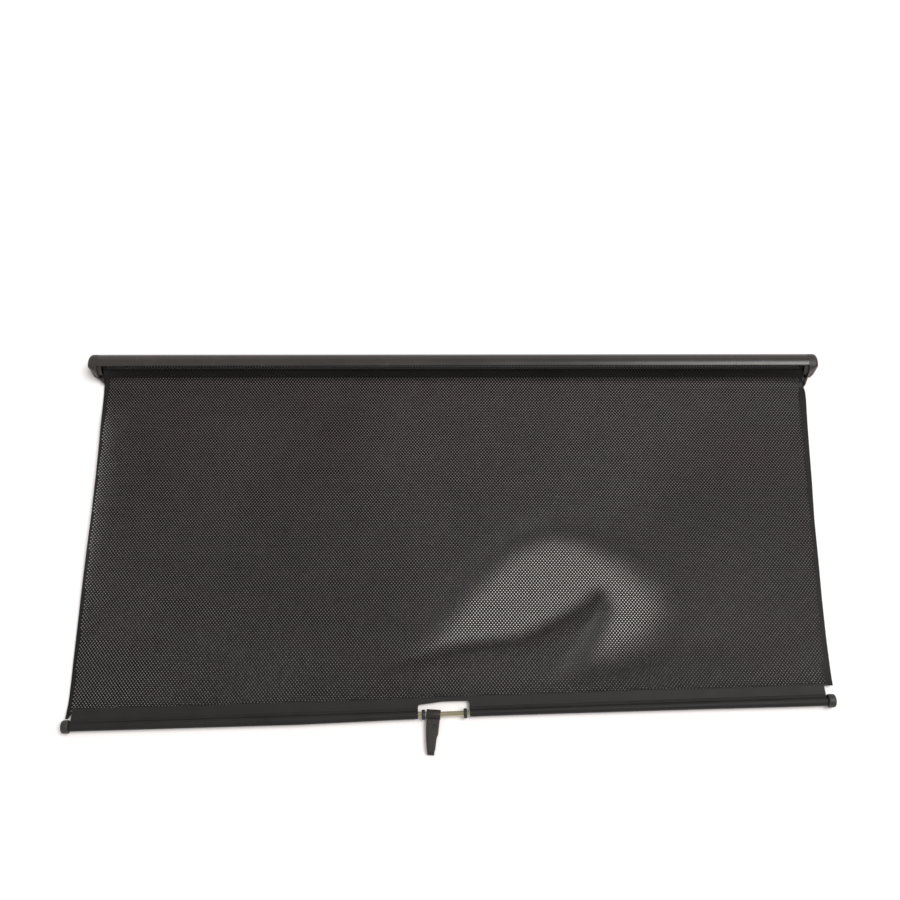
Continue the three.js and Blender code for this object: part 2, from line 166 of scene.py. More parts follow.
# The piece with its edges rounded
def softened(piece, width):
    bevel = piece.modifiers.new("bevel", "BEVEL")
    bevel.width = width * mm
    bevel.segments = 3
    bevel.limit_method = "ANGLE"
    bevel.angle_limit = math.radians(40)
    applied(piece)
    smoothed(piece.data, 38)
    return piece


# A finish with slow patches and a fine grain, in colour, roughness and relief
def surfaceFinish(name, look):
    material = bpy.data.materials.new(name)
    material.use_nodes = True
    nodes, links = material.node_tree.nodes, material.node_tree.links
    shader = nodes["Principled BSDF"]
    shader.inputs["Metallic"].default_value = look.get("metallic", 0.0)
    shader.inputs["IOR"].default_value = 1.5
    shader.inputs["Specular IOR Level"].default_value = look.get("specular", 0.5)
    coordinates = nodes.new("ShaderNodeTexCoord")
    mapping = nodes.new("ShaderNodeMapping")
    mapping.inputs["Scale"].default_value = look.get("stretch", (1, 1, 1))
    links.new(coordinates.outputs["Object"], mapping.inputs["Vector"])

    def noise(size, detail, seed):
        texture = nodes.new("ShaderNodeTexNoise")
        texture.noise_dimensions = "4D"
        texture.inputs["W"].default_value = seed
        texture.inputs["Scale"].default_value = 1.0 / (size * mm)
        texture.inputs["Detail"].default_value = detail
        links.new(mapping.outputs["Vector"], texture.inputs["Vector"])
        return texture.outputs["Fac"]

    def spread(value, low, high, first, last):
        remap = nodes.new("ShaderNodeMapRange")
        remap.inputs["From Min"].default_value = low
        remap.inputs["From Max"].default_value = high
        remap.inputs["To Min"].default_value = first
        remap.inputs["To Max"].default_value = last
        links.new(value, remap.inputs["Value"])
        return remap.outputs["Result"]

    patches = noise(look["patchSize"], 3.0, 1.3)
    grain = noise(look["grainSize"], 2.0, 4.1)
    tint = nodes.new("ShaderNodeMix")
    tint.data_type = "RGBA"
    tint.inputs["A"].default_value = (*look["dark"], 1)
    tint.inputs["B"].default_value = (*look["light"], 1)
    links.new(spread(patches, 0.3, 0.7, 0.0, 1.0), tint.inputs["Factor"])
    fleck = nodes.new("ShaderNodeMix")
    fleck.data_type = "RGBA"
    fleck.blend_type = "MULTIPLY"
    fleck.inputs["Factor"].default_value = look.get("fleck", 0.3)
    links.new(tint.outputs["Result"], fleck.inputs["A"])
    links.new(spread(grain, 0.25, 0.75, 0.45, 1.5), fleck.inputs["B"])
    links.new(fleck.outputs["Result"], shader.inputs["Base Color"])
    links.new(spread(patches, 0.3, 0.7, *look["roughness"]), shader.inputs["Roughness"])
    bump = nodes.new("ShaderNodeBump")
    bump.inputs["Strength"].default_value = look.get("bump", 0.4)
    bump.inputs["Distance"].default_value = look["grainSize"] * mm * 0.5
    links.new(grain, bump.inputs["Height"])
    links.new(bump.outputs["Normal"], shader.inputs["Normal"])
    return material


finishes = {
    "housing": surfaceFinish("housingCoating", {
        "dark": (0.022, 0.0182, 0.0158), "light": (0.031, 0.026, 0.0226),
        "patchSize": 30, "grainSize": 0.6,
        "roughness": (0.22, 0.3), "bump": 0.1, "fleck": 0.2, "specular": 0.5}),
    "cap": surfaceFinish("capPlastic", {
        "dark": (0.025, 0.0212, 0.019), "light": (0.04, 0.034, 0.0305),
        "patchSize": 6, "grainSize": 0.4,
        "roughness": (0.42, 0.55), "bump": 0.25, "fleck": 0.3, "specular": 0.35}),
    "film": surfaceFinish("shadeFilm", {
        "dark": (0.0088, 0.0074, 0.0066), "light": (0.013, 0.011, 0.0098),
        "patchSize": 45, "grainSize": 0.9,
        "roughness": (0.4, 0.52), "bump": 0.1, "fleck": 0.15, "specular": 0.15}),
    "hem": surfaceFinish("hemStrip", {
        "dark": (0.0095, 0.0079, 0.007), "light": (0.0155, 0.013, 0.0116),
        "patchSize": 14, "grainSize": 0.7,
        "roughness": (0.5, 0.62), "bump": 0.4, "fleck": 0.35, "specular": 0.25}),
    "rod": surfaceFinish("yellowZincPlate", {
        "dark": (0.36, 0.315, 0.205), "light": (0.52, 0.47, 0.33),
        "patchSize": 5, "grainSize": 0.5,
        "roughness": (0.14, 0.22), "bump": 0.1, "fleck": 0.15,
        "metallic": 1.0, "stretch": (0.15, 1, 1)}),
    "ring": surfaceFinish("ringRubber", {
        "dark": (0.008, 0.008, 0.008), "light": (0.014, 0.0135, 0.013),
        "patchSize": 2, "grainSize": 0.3,
        "roughness": (0.45, 0.6), "bump": 0.3, "fleck": 0.2}),
    "tab": surfaceFinish("tabPlastic", {
        "dark": (0.017, 0.0142, 0.0128), "light": (0.0275, 0.023, 0.0208),
        "patchSize": 5, "grainSize": 0.35,
        "roughness": (0.48, 0.6), "bump": 0.35, "fleck": 0.35, "specular": 0.3}),
    "tube": surfaceFinish("tubeAluminium", {
        "dark": (0.52, 0.52, 0.5), "light": (0.64, 0.64, 0.62),
        "patchSize": 8, "grainSize": 0.3,
        "roughness": (0.3, 0.42), "bump": 0.15, "fleck": 0.15,
        "metallic": 1.0, "stretch": (0.05, 1, 1)}),
    "bush": surfaceFinish("acetal", {
        "dark": (0.6, 0.58, 0.52), "light": (0.72, 0.7, 0.64),
        "patchSize": 4, "grainSize": 0.4,
        "roughness": (0.35, 0.45), "bump": 0.1, "fleck": 0.1}),
    "steel": surfaceFinish("plainSteel", {
        "dark": (0.36, 0.36, 0.35), "light": (0.5, 0.5, 0.49),
        "patchSize": 4, "grainSize": 0.3,
        "roughness": (0.25, 0.38), "bump": 0.15, "fleck": 0.2,
        "metallic": 1.0, "stretch": (0.2, 1, 1)}),
}


def dress(piece, slotName, body, *nodes):
    piece.data.materials.clear()
    piece.data.materials.append(finishes[slotName])
    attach(piece, body)
    if nodes:
        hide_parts(*nodes)
    return piece


print("finishes made")

# Perforated film
film = {
    "pitch": 2.0,          # between holes of one row
    "rowGap": 1.24,        # between staggered rows
    "hole": 0.375,         # radius
    "marginLeft": 3.0,     # without holes, beside the edges
    "marginRight": 2.3,
    "holesTaper": (0.9, -0.0384, 0.043),  # of the field of holes: wider right, left slope, right slope
    "columns": 243,
    "firstColumn": -240.0,
    "rows": 101,           # each with its staggered one
    "panels": 8,           # side by side, so that each stays light and follows the skewed hem
    "middles": (-218.0, 219.0),  # least and greatest middle at which a panel's reach is taken
    "longest": 300.0,      # more than any panel has
    "end": 9.4,            # from the rod, inside the hem's groove
    "ear": 4.6,            # how much further the lower left corner reaches, beside the band
}
# How the film lies
lie = {
    "settle": 26,          # from the landing to where the film lies freely
    "wave": 0.5, "waveLength": 47, "waveStart": 0.8,
    "slant": 0.4, "slantX": 83, "slantY": 60,
    "calm": (12, 45),      # from the rod, where the waves fade out
    "touching": 0.12,      # height of the patch that lies on the surface
    "touchRim": (-18, 16),
    "foldRim": (-12, 9),
    "foldRise": 1.0,
    "blend": 1.0,          # softness of the bend up to the hem
    "curl": 2.8,           # lift of the free left edge
    "curlReach": 7.0, "curlStart": (20, 45), "curlEnd": (120, 200),
}
# The film on the roller: where it leaves, its radii, and what is still wound up
roll = {"leaves": 155, "outer": 5.15, "reach": 5.5, "start": 4.92, "mean": 4.72, "layer": 0.36,
        "length": 40.0, "rows": 17}
# Side edges of the film, as places along the film and half widths
leftEdge = [
    (0, 239.6), (12, 240.2), (23, 239.4), (39, 237.8), (61, 236.4), (83, 235.3), (112, 234.1),
    (140, 233.5), (166, 233.0), (192, 232.2), (217, 231.2), (232, 230.8)]
rightEdge = [
    (0, 240.1), (6, 240.2), (13, 241.6), (17, 242.3), (23, 242.2), (39, 241.1), (61, 239.8),
    (83, 238.6), (111, 236.7), (138, 235.7), (164, 234.5), (190, 233.7), (215, 233.4)]
# Outline of the patch that lies on the surface, and of the fold that rises in it
touchOutline = [
    (-24, -203), (-4, -178), (12, -155), (39, -128), (67, -117), (87, -121), (113, -135),
    (134, -156), (137, -174), (124, -193), (103, -204), (70, -209), (30, -203)]
foldOutline = [
    (95, -164), (87, -172), (68, -183), (48, -193), (7, -200), (-30, -213), (66, -218),
    (80, -203), (91, -188), (98, -172)]


# Y at a distance from the rod, across the skewed pull bar
def hemLine(x, distance):
    rodY = -place["hemDistance"] + math.tan(skew) * (x - place["hemShift"])
    return rodY + distance / math.cos(skew)


# Distance inside an outline, negative outside it
def insideBy(outline, x, y):
    nearest = np.full(x.shape, 1e9)
    inside = np.zeros(x.shape, bool)
    count = len(outline)
    for k in range(count):
        (ax, ay), (bx, by) = outline[k], outline[(k + 1) % count]
        ex, ey = bx - ax, by - ay
        t = np.clip(((x - ax) * ex + (y - ay) * ey) / (ex * ex + ey * ey), 0, 1)
        nearest = np.minimum(nearest, np.hypot(x - ax - t * ex, y - ay - t * ey))
        crosses = ((ay > y) != (by > y)) & (x < ex * (y - ay) / (ey if ey else 1e-9) + ax)
        inside ^= crosses
    return np.where(inside, nearest, -nearest)


# Left and right edge of the film, at a distance along it
def filmEdges(s):
    onDescent = np.interp(s, descentAlong, -descent[:, 0])
    y = np.where(s < descentLength, onDescent, place["landing"] + s - descentLength)
    left = -np.interp(y, *zip(*leftEdge))
    right = np.interp(y, *zip(*rightEdge))
    return left, right


def filmHeight(x, y):
    away = smoothStep(place["landing"], place["landing"] + lie["settle"], -y)
    wave = (lie["wave"] * np.sin(x / lie["waveLength"] + lie["waveStart"])
            + lie["slant"] * np.sin(x / lie["slantX"] - y / lie["slantY"]))
    fromRod = (y - hemLine(x, 0)) * math.cos(skew)
    free = place["lift"] + away * wave * smoothStep(*lie["calm"], fromRod)
    touching = smoothStep(*lie["touchRim"], insideBy(touchOutline, x, y))
    fold = smoothStep(*lie["foldRim"], insideBy(foldOutline, x, y))
    touching = touching * (1 - fold)
    free = free + lie["foldRise"] * fold
    lying = free + (lie["touching"] - free) * touching * away
    slope = place["rodHeight"] - fromRod * math.tan(droop)
    blend = lie["blend"]
    step = np.clip((slope - lying) / (2 * blend) + 0.5, 0, 1)
    return lying + (slope - lying) * step + blend * step * (1 - step)


# The film's way from the roller down to the surface, in Y and Z
def descentCurve(steps=240):
    radius, angle, reach = roll["outer"], math.radians(roll["leaves"]), roll["reach"]
    a = np.array([radius * math.cos(angle), place["rollerHeight"] + radius * math.sin(angle)])
    b = a + reach * np.array([-math.sin(angle), math.cos(angle)])
    d = np.array([-place["landing"], place["lift"]])
    c = d + np.array([reach, 0])
    t = np.linspace(0, 1, steps + 1)[:, None]
    points = (1 - t) ** 3 * a + 3 * (1 - t) ** 2 * t * b + 3 * (1 - t) * t ** 2 * c + t ** 3 * d
    steps = np.linalg.norm(np.diff(points, axis=0), axis=1)
    along = np.concatenate([[0], np.cumsum(steps)])
    return points, along


descent, descentAlong = descentCurve()
descentLength = descentAlong[-1]


# A point of the flat film, laid out in place
def onShade(x, s):
    descends = s < descentLength
    lyingY = -place["landing"] - (s - descentLength)
    y = np.where(descends, np.interp(s, descentAlong, descent[:, 0]), lyingY)
    z = np.where(descends, np.interp(s, descentAlong, descent[:, 1]), filmHeight(x, y))
    left, _ = filmEdges(s)
    nearEdge = np.exp(-(x - left) / lie["curlReach"])
    starts, ends = smoothStep(*lie["curlStart"], -y), smoothStep(*lie["curlEnd"], -y)
    curl = lie["curl"] * nearEdge * starts * (1 - ends)
    return np.stack([x, y, z + curl], axis=1)


# A point of the flat film, wound on the roller
def onRoller(x, s):
    angle = np.radians(roll["leaves"]) + s / roll["mean"]
    radius = roll["start"] - roll["layer"] * s / (2 * math.pi * roll["mean"])
    z = place["rollerHeight"] + radius * np.sin(angle)
    return np.stack([x, radius * np.cos(angle), z], axis=1)


# One hexagon of film with a hole, and one without, told apart by an attribute
def cellMesh(name):
    p, g, hole = film["pitch"] / 2, film["rowGap"], film["hole"]
    low = (p * p + g * g) / 2 - p * p
    corner = low / g
    tip = (p * p + g * g) / (2 * g)
    outer = [(p, corner), (0, tip), (-p, corner), (-p, -corner), (0, -tip), (p, -corner)]
    angles = [math.radians(a) for a in range(30, 390, 60)]
    inner = [(hole * math.cos(a), hole * math.sin(a)) for a in angles]
    points = [(x * mm, y * mm, 0) for x, y in outer + inner + outer]
    faces = [(k, (k + 1) % 6, 6 + (k + 1) % 6, 6 + k) for k in range(6)] + [(12, 13, 14, 15, 16, 17)]
    mesh = bpy.data.meshes.new(name)
    mesh.from_pydata(points, [], faces)
    holed = mesh.attributes.new("holed", "BOOLEAN", "FACE")
    holed.data.foreach_set("value", [True] * 6 + [False])
    return added(name, mesh)


# Rows of perforated cells, plain ones in the film's margins
def perforationTree():
    tree = bpy.data.node_groups.new("filmPerforation", "GeometryNodeTree")
    face = tree.interface
    face.new_socket("Geometry", in_out="INPUT", socket_type="NodeSocketGeometry")
    lengths = ("Pitch", "Row Gap", "First X", "First Y")
    for name in (*lengths, "Left Edge", "Left Slope", "Right Edge", "Right Slope"):
        face.new_socket(name, in_out="INPUT", socket_type="NodeSocketFloat")
    for name in ("Columns", "Rows"):
        face.new_socket(name, in_out="INPUT", socket_type="NodeSocketInt")
    face.new_socket("Material", in_out="INPUT", socket_type="NodeSocketMaterial")
    face.new_socket("Geometry", in_out="OUTPUT", socket_type="NodeSocketGeometry")
    nodes, links = tree.nodes, tree.links
    given = nodes.new("NodeGroupInput").outputs

    def feed(socket, value):
        if isinstance(value, (int, float)):
            socket.default_value = value
        else:
            links.new(value, socket)

    def maths(operation, a, b):
        node = nodes.new("ShaderNodeMath")
        node.operation = operation
        feed(node.inputs[0], a)
        feed(node.inputs[1], b)
        return node.outputs[0]

    def vector(x, y):
        node = nodes.new("ShaderNodeCombineXYZ")
        feed(node.inputs["X"], x)
        feed(node.inputs["Y"], y)
        return node.outputs["Vector"]

    def moved(geometry, offset):
        node = nodes.new("GeometryNodeTransform")
        links.new(geometry, node.inputs["Geometry"])
        links.new(offset, node.inputs["Translation"])
        return node.outputs["Geometry"]

    def joinedUp(*parts):
        node = nodes.new("GeometryNodeJoinGeometry")
        for each in parts:
            links.new(each, node.inputs["Geometry"])
        return node.outputs["Geometry"]

    sizeX = maths("MULTIPLY", given["Pitch"], maths("SUBTRACT", given["Columns"], 1))
    pairGap = maths("MULTIPLY", given["Row Gap"], 2.0)
    sizeY = maths("MULTIPLY", pairGap, maths("SUBTRACT", given["Rows"], 1))
    grid = nodes.new("GeometryNodeMeshGrid")
    links.new(sizeX, grid.inputs["Size X"])
    links.new(sizeY, grid.inputs["Size Y"])
    links.new(given["Columns"], grid.inputs["Vertices X"])
    links.new(given["Rows"], grid.inputs["Vertices Y"])
    halfPitch = maths("MULTIPLY", given["Pitch"], 0.5)
    between = moved(grid.outputs["Mesh"], vector(halfPitch, given["Row Gap"]))
    lattice = moved(
        joinedUp(grid.outputs["Mesh"], between),
        vector(
            maths("ADD", given["First X"], maths("MULTIPLY", sizeX, 0.5)),
            maths("SUBTRACT", given["First Y"], maths("MULTIPLY", sizeY, 0.5)),
        ),
    )
    position = nodes.new("GeometryNodeInputPosition").outputs["Position"]
    apart = nodes.new("ShaderNodeSeparateXYZ")
    links.new(position, apart.inputs["Vector"])
    x, y = apart.outputs["X"], apart.outputs["Y"]
    leftEdge = maths("ADD", given["Left Edge"], maths("MULTIPLY", given["Left Slope"], y))
    rightEdge = maths("ADD", given["Right Edge"], maths("MULTIPLY", given["Right Slope"], y))
    pastLeft, beforeRight = maths("GREATER_THAN", x, leftEdge), maths("LESS_THAN", x, rightEdge)
    inside = maths("MULTIPLY", pastLeft, beforeRight)
    named = nodes.new("GeometryNodeInputNamedAttribute")
    named.data_type = "BOOLEAN"
    named.inputs["Name"].default_value = "holed"
    cells = nodes.new("GeometryNodeSeparateGeometry")
    cells.domain = "FACE"
    links.new(given["Geometry"], cells.inputs["Geometry"])
    links.new(named.outputs["Attribute"], cells.inputs["Selection"])
    placed = []
    for cell, chosen in (("Selection", inside), ("Inverted", maths("SUBTRACT", 1.0, inside))):
        node = nodes.new("GeometryNodeInstanceOnPoints")
        links.new(lattice, node.inputs["Points"])
        links.new(cells.outputs[cell], node.inputs["Instance"])
        links.new(chosen, node.inputs["Selection"])
        placed.append(node.outputs["Instances"])
    real = nodes.new("GeometryNodeRealizeInstances")
    links.new(joinedUp(*placed), real.inputs["Geometry"])
    merge = nodes.new("GeometryNodeMergeByDistance")
    merge.inputs["Distance"].default_value = 0.02 * mm
    links.new(real.outputs["Geometry"], merge.inputs["Geometry"])
    paint = nodes.new("GeometryNodeSetMaterial")
    links.new(merge.outputs["Geometry"], paint.inputs["Geometry"])
    links.new(given["Material"], paint.inputs["Material"])
    links.new(paint.outputs["Geometry"], nodes.new("NodeGroupOutput").inputs["Geometry"])
    return tree


perforation = perforationTree()


# Vertices of a mesh, in millimetres
def readPoints(mesh):
    points = np.empty(len(mesh.vertices) * 3, np.float32)
    mesh.vertices.foreach_get("co", points)
    return points.reshape(-1, 3).astype(float) / mm


def writePoints(mesh, points):
    mesh.vertices.foreach_set("co", (points * mm).astype(np.float32).ravel())
    mesh.update()


# A flat run of cells, trimmed to the film's edges and laid out in place
def perforatedSheet(name, firstColumn, columns, rows, laidOut, length, edges):
    piece = cellMesh(name)
    modifier = piece.modifiers.new("perforation", "NODES")
    modifier.node_group = perforation
    top = place["filmTopHalf"]
    wider, leftSlope, rightSlope = film["holesTaper"] if edges else (0, 0, 0)
    values = {
        "Pitch": film["pitch"] * mm,
        "Row Gap": film["rowGap"] * mm,
        "First X": (film["firstColumn"] + film["pitch"] * firstColumn) * mm,
        "First Y": 0.0,
        "Left Edge": (-top + film["marginLeft"]) * mm,
        "Left Slope": leftSlope,
        "Right Edge": (top + wider - film["marginRight"]) * mm,
        "Right Slope": rightSlope,
        "Columns": columns,
        "Rows": rows,
        "Material": finishes["film"],
    }
    items = perforation.interface.items_tree
    sockets = {item.name: item.identifier for item in items if item.in_out == "INPUT"}
    for label, value in values.items():
        modifier[sockets[label]] = value
    applied(piece)
    mesh = piece.data
    flat = readPoints(mesh)
    x, s = flat[:, 0], np.clip(-flat[:, 1], 0, length)
    if edges:
        for _ in range(2):
            left, right = filmEdges(s)
            x = np.clip(x, left, right)
            beside = smoothStep(place["bandHalf"] - 0.6, place["bandHalf"] + 0.9, -x)
            fromRod = film["end"] - film["ear"] * beside
            s = np.minimum(s, descentLength - place["landing"] - hemLine(x, fromRod))
    else:
        x = np.clip(x, -top, top)
    writePoints(mesh, np.stack([x, -s, 0 * x], axis=1))
    bm = bmesh.new()
    bm.from_mesh(mesh)
    gone = [f for f in bm.faces if f.calc_area() < 2e-9]
    bmesh.ops.delete(bm, geom=gone, context="FACES")
    bmesh.ops.remove_doubles(bm, verts=bm.verts, dist=2e-5)
    area = sum(f.calc_area() for f in bm.faces)
    bm.to_mesh(mesh)
    bm.free()
    flat = readPoints(mesh)
    width, run = np.ptp(flat[:, 0]), np.ptp(flat[:, 1])
    writePoints(mesh, laidOut(flat[:, 0], -flat[:, 1]))
    mesh.shade_smooth()
    if "holed" in mesh.attributes:
        mesh.attributes.remove(mesh.attributes["holed"])
    return piece, area, width * mm, run * mm


perPanel = math.ceil(film["columns"] / film["panels"])
fixedEnd = 5.0     # from the roller's axis, taken off each panel's reach
for index in range(film["panels"]):
    first = index * perPanel
    columns = min(perPanel, film["columns"] - first)
    panel, area, width, run = perforatedSheet(
        f"film_panel_{index + 1}", first, columns, film["rows"], onShade, film["longest"], True)
    dress(panel, "film", "cassette", "shade_film")
    middle = film["firstColumn"] + film["pitch"] * (first + columns / 2)
    reach = -hemLine(np.clip(middle, *film["middles"]), film["end"]) - fixedEnd
    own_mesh(panel)
    size = f"{width / mm:.1f} by {run / mm:.1f} mm"
    print(panel.name, len(panel.data.polygons), "faces,", size)

half = math.ceil(film["columns"] / 2)
for index, (first, columns) in enumerate([(0, half), (half, film["columns"] - half)]):
    wound, area, width, run = perforatedSheet(
        f"film_turns_{index + 1}", first, columns, roll["rows"], onRoller, roll["length"], False)
    dress(wound, "film", "roller", "film_on_roller")
print("film made")

# Housing
housing = {"radius": 8.0, "wall": 1.0, "upperLip": 115.0, "lowerLip": 214.0, "half": 243.4}


def housingPiece():
    outer, height = housing["radius"], place["rollerHeight"]
    inner = outer - housing["wall"]
    outerFlat = math.degrees(math.asin(height / outer))
    innerFlat = math.degrees(math.asin((height - housing["wall"]) / inner))
    middle = outer - housing["wall"] / 2
    upper, lower = housing["upperLip"], housing["lowerLip"]

    def lip(angle, start):
        cx = middle * math.cos(math.radians(angle))
        cy = height + middle * math.sin(math.radians(angle))
        return arcPoints(cx, cy, housing["wall"] / 2, start, start + 180, 8)[1:-1]

    outline = (
        arcPoints(0, height, outer, lower, 180 + outerFlat, 20)
        + arcPoints(0, height, outer, 360 - outerFlat, 360 + upper, 110)
        + lip(upper, upper)
        + arcPoints(0, height, inner, 360 + upper, 360 - innerFlat, 100)
        + arcPoints(0, height, inner, 180 + innerFlat, lower, 16)
        + lip(lower, lower + 180)
    )
    stations = np.linspace(-housing["half"], housing["half"], 25)
    points = [(x, y, z) for x in stations for y, z in outline]
    return meshPiece("cassette_shell", points, loftFaces(len(stations), len(outline)))


dress(housingPiece(), "housing", "cassette", "cassette_housing")

# End caps
cap = {"face": 243.5, "end": 250.0, "fillet": 3.0, "bore": 1.5, "boss": 2.7, "underside": 1.3,
       "spigotOuter": 6.7, "spigotWall": 0.9, "spigotEnd": 240.5,
       "guideHeight": 4.5, "guideBack": -3.0, "guideFoot": -8.3, "guideRoot": -8.0}
# Front outline of each cap with its guide, as places along X and Y
capFlank = {
    -1: [(240.2, -11.2), (241.1, -10.1), (244.8, -7.0), (249.4, -3.8), (250.0, -3.0)],
    1: [(242.0, -12.5), (242.6, -12.3), (244.1, -8.9), (245.3, -5.2), (247.9, -4.8),
        (249.6, -3.6), (250.0, -2.8)],
}


def endCapPiece(name, side):
    height = place["rollerHeight"]
    radius = housing["radius"]
    face, end, fillet = cap["face"], cap["end"], cap["fillet"]
    disc = (
        [(0, face), (radius - 0.1, face), (radius, face + 0.1)]
        + arcPoints(radius - fillet, end - fillet, fillet, 0, 90, 12)
        + [(0, end)]
    )
    inside, sunk = cap["spigotEnd"], face + 1
    outer = cap["spigotOuter"]
    inner = outer - cap["spigotWall"]
    spigot = [(inner, inside), (outer - 0.2, inside), (outer, inside + 0.2), (outer, sunk),
              (inner, sunk), (inner, inside)]
    bore, wide = cap["bore"], cap["boss"]
    boss = [(bore, inside), (wide, inside), (wide, sunk), (bore, sunk), (bore, inside)]
    points, faces = joined([turnedAboutX([(r, side * x) for r, x in profile], 72, height)
                            for profile in (disc, spigot, boss)])
    flank = list(zip(*capFlank[side]))

    def cutBack(x, y, z):
        if abs(x) > face:
            y = max(y, np.interp(abs(x), *flank))
        return x, y, max(z, cap["underside"] if abs(x) < face else 0.0)

    points = [cutBack(*p) for p in points]
    return meshPiece(name, points, faces), filmGuidePiece(name + "_guide", side)


def filmGuidePiece(name, side):
    inner = capFlank[side][0][0] - 0.05
    front = [(x, y) for x, y in reversed(capFlank[side]) if x < cap["end"] - 0.5]
    outline = (
        [(cap["end"] - 1.0, cap["guideBack"])] + front
        + [(inner, front[-1][1]), (inner, cap["guideFoot"]),
           (cap["face"], cap["guideRoot"]), (cap["face"], cap["guideBack"])]
    )
    rings = [[(side * x, y, z) for x, y in outline] for z in (0.0, cap["guideHeight"])]
    return softened(meshPiece(name, rings[0] + rings[1], loftFaces(2, len(outline))), 0.2)


for name, side in (("cap_left", -1), ("cap_right", 1)):
    node = "end_cap_left" if side < 0 else "end_cap_right"
    for piece in endCapPiece(name, side):
        dress(piece, "cap", "cassette", node)
print("housing and caps made")

# Hem band with its rod
hem = {"depth": 10.6, "thickness": 1.1, "bore": 1.8, "wall": 0.55, "lipDepth": 1.7, "lip": 2.0,
       "groove": 0.75, "weld": 4.1, "weldDepth": 0.16, "wave": 0.35,
       "notchLeft": -17.9, "notchRight": 13.3, "notchDepth": 7.7, "notchFall": 1.3, "corner": 1.5,
       # looseness of the pocket, at places along the band
       "slackAt": (-230, -150, -90, -30, 20, 68, 152, 212),
       "slack": (0.5, 0.9, 1.2, 0.3, -0.3, -0.25, 0.1, 0.6)}


def hemBandPiece():
    plate, lip, groove = hem["thickness"] / 2, hem["lip"] / 2, hem["groove"]
    pocket = hem["bore"] + hem["wall"]
    start = hem["depth"] - hem["lipDepth"]
    join = math.degrees(math.asin(plate / pocket))
    weld, sunk, end = hem["weld"], hem["weldDepth"], hem["depth"]
    outline = (
        arcPoints(0, 0, pocket, join, 360 - join, 40)
        + [(weld - 0.5, -plate), (weld, -plate + sunk), (weld + 0.5, -plate),
           (start - lip, -plate), (start, -lip), (end - 0.2, -lip), (end, -lip + 0.2),
           (end, -groove), (start, -groove), (start, groove), (end, groove),
           (end, lip - 0.2), (end - 0.2, lip), (start, lip), (start - lip, plate),
           (weld + 0.5, plate), (weld, plate - sunk), (weld - 0.5, plate)]
    )
    count = len(outline)
    stations = np.linspace(-place["bandHalf"], place["bandHalf"], 140)
    points = []
    c, s = math.cos(droop), math.sin(droop)
    for x in stations:
        wave = hem["wave"] * (math.sin(x / 17 + 1.2) * 0.6 + math.sin(x / 41) * 0.6)
        for u, v in outline:
            share = max(0.0, u - weld) / (end - weld)
            u2 = u + wave * share * 0.6
            v2 = v + wave * share * 0.5
            if u < 0:
                u2 = u * (1 + np.interp(x, hem["slackAt"], hem["slack"]) / pocket)
            points.append((x, u2 * c + v2 * s, -u2 * s + v2 * c))
    band = meshPiece("hem_strip", onBar(points), loftFaces(len(stations), count), 30)
    # The pocket for the rod
    radius, sides = hem["bore"], 40
    bore = [(x, radius * math.cos(a), radius * math.sin(a))
            for x in (-place["bandHalf"] - 5, place["bandHalf"] + 5)
            for a in np.linspace(0, 2 * math.pi, sides + 1)[:-1]]
    cutWith(band, meshPiece("bore", onBar(bore), loftFaces(2, sides)))
    # The finger notch
    left, right = hem["notchLeft"], hem["notchRight"]
    deep, corner = hem["notchDepth"], hem["corner"]
    notch = (
        [(left, -6), (right, -6)]
        + arcPoints(right - corner, deep - corner, corner, 0, 90, 6)
        + [(-3.0, deep + 0.1), (-9.0, deep - 0.6)]
        + arcPoints(left + corner, deep - hem["notchFall"] - corner, corner, 90, 180, 6)
    )
    rings = [(x, y, z) for z in (-6, 6) for x, y in notch]
    cutWith(band, meshPiece("notch", onBar(rings), loftFaces(2, len(notch))))
    smoothed(band.data, 30)
    return band


dress(hemBandPiece(), "hem", "pull_bar", "hem_band")

rod = {"radius": 1.5, "half": 231.2,
       "knob": 4.0, "knobInner": 228.1, "knobLength": 4.6, "knobFillet": 1.4, "knobEnd": 1.2,
       "ring": 3.0, "ringThickness": 2.1, "ringLeft": -14.6, "ringRight": 10.6}


# Each piece with its slot and its node
def rodPieces():
    r, h = rod["radius"], rod["half"]
    bar = turnedAboutX([(0, -h), (r - 0.3, -h), (r, -h + 0.3), (r, -100), (r, 0), (r, 100),
                        (r, h - 0.3), (r - 0.3, h), (0, h)], 40)
    yield meshPiece("rod_bar", onBar(bar[0]), bar[1]), "rod", "pull_rod"
    outer = rod["knobInner"] + rod["knobLength"]
    fillet, radius, socket = rod["knobFillet"], rod["knob"], r + 0.3
    inner, bottom = rod["knobInner"], outer - rod["knobEnd"]
    profile = (
        [(0, bottom), (socket, bottom), (socket, inner)]
        + arcPoints(radius - fillet / 2, inner + fillet / 2, fillet / 2, -90, 0, 6)
        + arcPoints(radius - fillet, outer - fillet, fillet, 0, 90, 10) + [(0, outer)]
    )
    for name, side in (("left", -1), ("right", 1)):
        knob = turnedAboutX([(q, side * x) for q, x in profile], 56)
        yield meshPiece("knob_" + name, onBar(knob[0]), knob[1]), "cap", "rod_knob_" + name
    middle = (rod["ring"] + r + 0.3) / 2
    reach, wide = rod["ring"] - middle, rod["ringThickness"] / 2
    for name, at in (("left", rod["ringLeft"]), ("right", rod["ringRight"])):
        section = [(middle + reach * squared(math.cos(a), 0.7), at + wide * squared(math.sin(a), 0.7))
                   for a in np.linspace(0, 2 * math.pi, 25)]
        section[-1] = section[0]
        ring = turnedAboutX(section, 56)
        yield meshPiece("ring_" + name, onBar(ring[0]), ring[1]), "ring", "stop_ring_" + name


for piece, slotName, node in rodPieces():
    dress(piece, slotName, "rod", node)
print("hem, rod, knobs and rings made")

